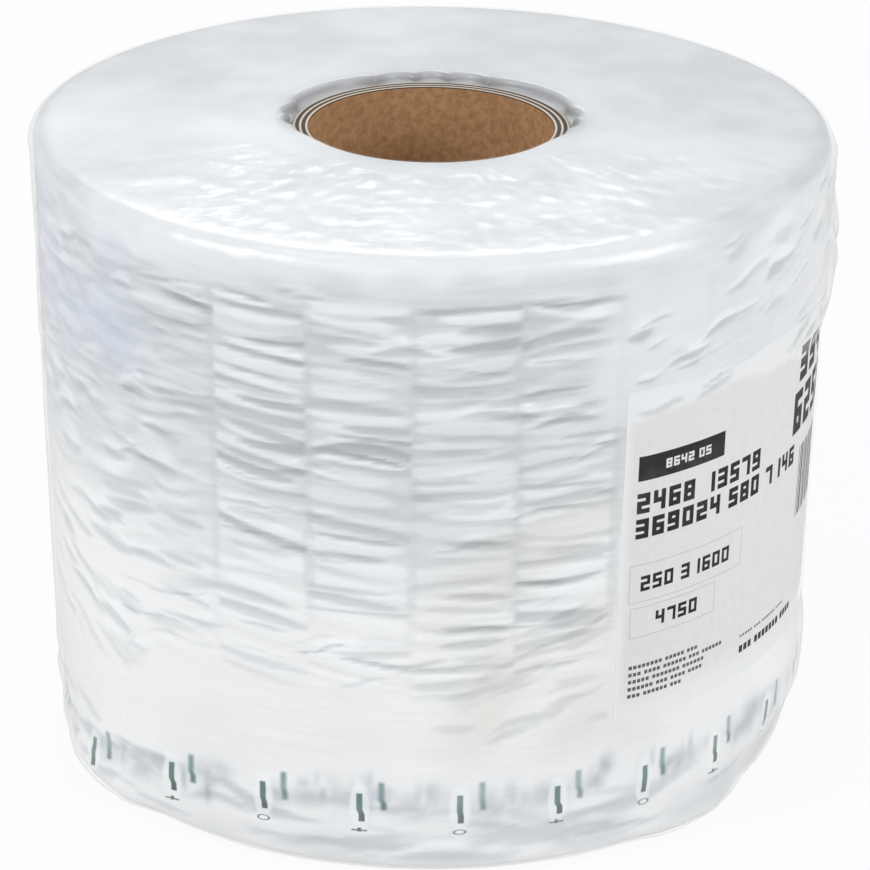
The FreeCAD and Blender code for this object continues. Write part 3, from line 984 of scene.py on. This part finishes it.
def makeWrapMaterial():
    # clear film with thin haze in it, and a gloss on its outer face only
    material, nodes, shader = newMaterial("clearWrap")
    place, mark = nodes.place(), nodes.mark
    fine = nodes.noise(place, 80.0, 2.0, 0.6)
    coarse = nodes.noise(place, 190.0, 3.0, 0.65)
    relief = nodes.plus(fine, nodes.times(coarse, mark("creased")))
    normal = nodes.bump(relief, 0.0014, nodes.times(mark("ripple"), 0.5))
    # the haze gets painted shade in folds and along the left edge
    tint = nodes.mix(mark("hollow"), *colours(wrap["tones"]).values())
    nodes.feed(shader, Base_Color=tint, Roughness=0.45, Normal=normal)
    gloss = nodes.add("BsdfAnisotropic", Roughness=wrap["roughness"], Normal=normal)
    fresnel = nodes.add("Fresnel", IOR=1.45, Normal=normal)
    outside = nodes.minus(1.0, nodes.add("NewGeometry").outputs["Backfacing"])
    shine = nodes.times(nodes.times(fresnel.outputs[0], outside), nodes.minus(1.0, mark("dull")))
    haze = nodes.plus(nodes.ramp(fine, 0.45, 0.8, *wrap["thinHaze"]), mark("milky"))
    body = nodes.mixShader(haze, nodes.add("BsdfTransparent"), shader)
    nodes.show(nodes.mixShader(shine, body, gloss))
    return material


def makeWrap():
    points = outline(wrap, coreRadius - wrap["inBore"], wrapLow.z, wrapHigh.z)
    piece = turnedPiece("clear_wrap", points, wrap["around"], wrapShift, False, wrapMarks)
    piece.data.materials.append(makeWrapMaterial())
    piece.visible_shadow = False
    piece.visible_diffuse = False
    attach(piece, "root")
    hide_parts("wrap")
    return piece


clearWrap = makeWrap()
print("wrap made:", len(clearWrap.data.polygons), "faces")

# floorGlow and the two shares in gloss: how bright the surroundings look, where 1 is white
stage = dict(floorSize=12, floorTone=0.82, floorGlow=0.9, floorInGloss=0.7, roomInGloss=0.5, roomLight=0.54)
# each lamp: place, the height it is aimed at, size and power
lamps = dict(
    behind=((-0.12, 1.2, 1.1), 0.18, (0.6, 0.3), 4.2),
    skylight=((0.8, 0.3, 1.9), 0.2, (1.2, 1.2), 2.4),
    overhead=((-0.45, -0.2, 1.9), 0.2, (0.5, 0.5), 2.4),
    keyLeft=((-1.3, -0.84, 1.08), 0.1, (0.7, 0.7), 12),
    fillRight=((1.4, -0.9, 0.9), 0.1, (0.8, 0.8), 11.3),
)
sight = dict(
    height=100 * mm, distance=1.2188, tilt=0.406, turn=math.radians(0.69), lens=157.76,
    aimAside=2.3 * mm, aimBelow=6.6 * mm)


def seenDirectly(nodes, inGloss):
    # 1 for the camera, less in reflections, 0 for light on its way to the object
    path = nodes.add("LightPath").outputs
    seen = nodes.math("MAXIMUM", path["Is Camera Ray"], path["Is Transmission Ray"])
    return nodes.math("MAXIMUM", seen, nodes.times(path["Is Glossy Ray"], inGloss))


def makeFloor():
    bpy.ops.mesh.primitive_plane_add(size=stage["floorSize"])
    floor = bpy.context.object
    floor.name = "floor"
    material, nodes, shader = newMaterial("paleFloor")
    nodes.feed(shader, Base_Color=(stage["floorTone"],) * 3 + (1,), Roughness=0.9)
    # the camera sees a white floor that keeps part of its shadow
    bright = nodes.add("Emission", Color=(1, 1, 1, 1), Strength=1.0)
    seen = nodes.times(seenDirectly(nodes, stage["floorInGloss"]), stage["floorGlow"])
    nodes.show(nodes.mixShader(seen, shader, bright))
    floor.data.materials.append(material)


def makeWorld():
    scene.world = bpy.data.worlds.new("paleRoom")
    scene.world.use_nodes = True
    nodes = Nodes(scene.world.node_tree)
    seen = seenDirectly(nodes, stage["roomInGloss"])
    strength = nodes.add("MapRange", Value=seen, To_Min=stage["roomLight"], To_Max=1.0)
    background = scene.world.node_tree.nodes["Background"]
    nodes.feed(background, Color=(1, 1, 1, 1), Strength=strength.outputs["Result"])


def addLamp(name, place, aimHeight, size, power):
    lamp = bpy.data.lights.new(name, "AREA")
    lamp.shape = "RECTANGLE"
    lamp.size, lamp.size_y = size
    lamp.energy = power
    holder = bpy.data.objects.new(name, lamp)
    holder.location = place
    holder.rotation_euler = (Vector((0, 0, aimHeight)) - Vector(place)).to_track_quat("-Z", "Y").to_euler()
    scene.collection.objects.link(holder)


def makeCamera():
    camera = bpy.data.cameras.new("camera")
    camera.sensor_width = 36
    camera.lens = sight["lens"]
    camera.clip_start = 0.05
    holder = bpy.data.objects.new("camera", camera)
    ahead = Vector((0, math.cos(sight["tilt"]), -math.sin(sight["tilt"])))
    holder.location = Vector((0, 0, sight["height"])) - ahead * sight["distance"]
    target = Vector((sight["aimAside"], 0, sight["height"] - sight["aimBelow"]))
    aim = (target - holder.location).to_track_quat("-Z", "Y").to_matrix()
    holder.rotation_euler = (aim @ Matrix.Rotation(sight["turn"], 3, "Z")).to_euler()
    scene.collection.objects.link(holder)
    scene.camera = holder


makeFloor()
makeWorld()
for name, settings in lamps.items():
    addLamp(name, *settings)
makeCamera()
scene.view_settings.view_transform = "Standard"
print("floor, lamps and camera set")
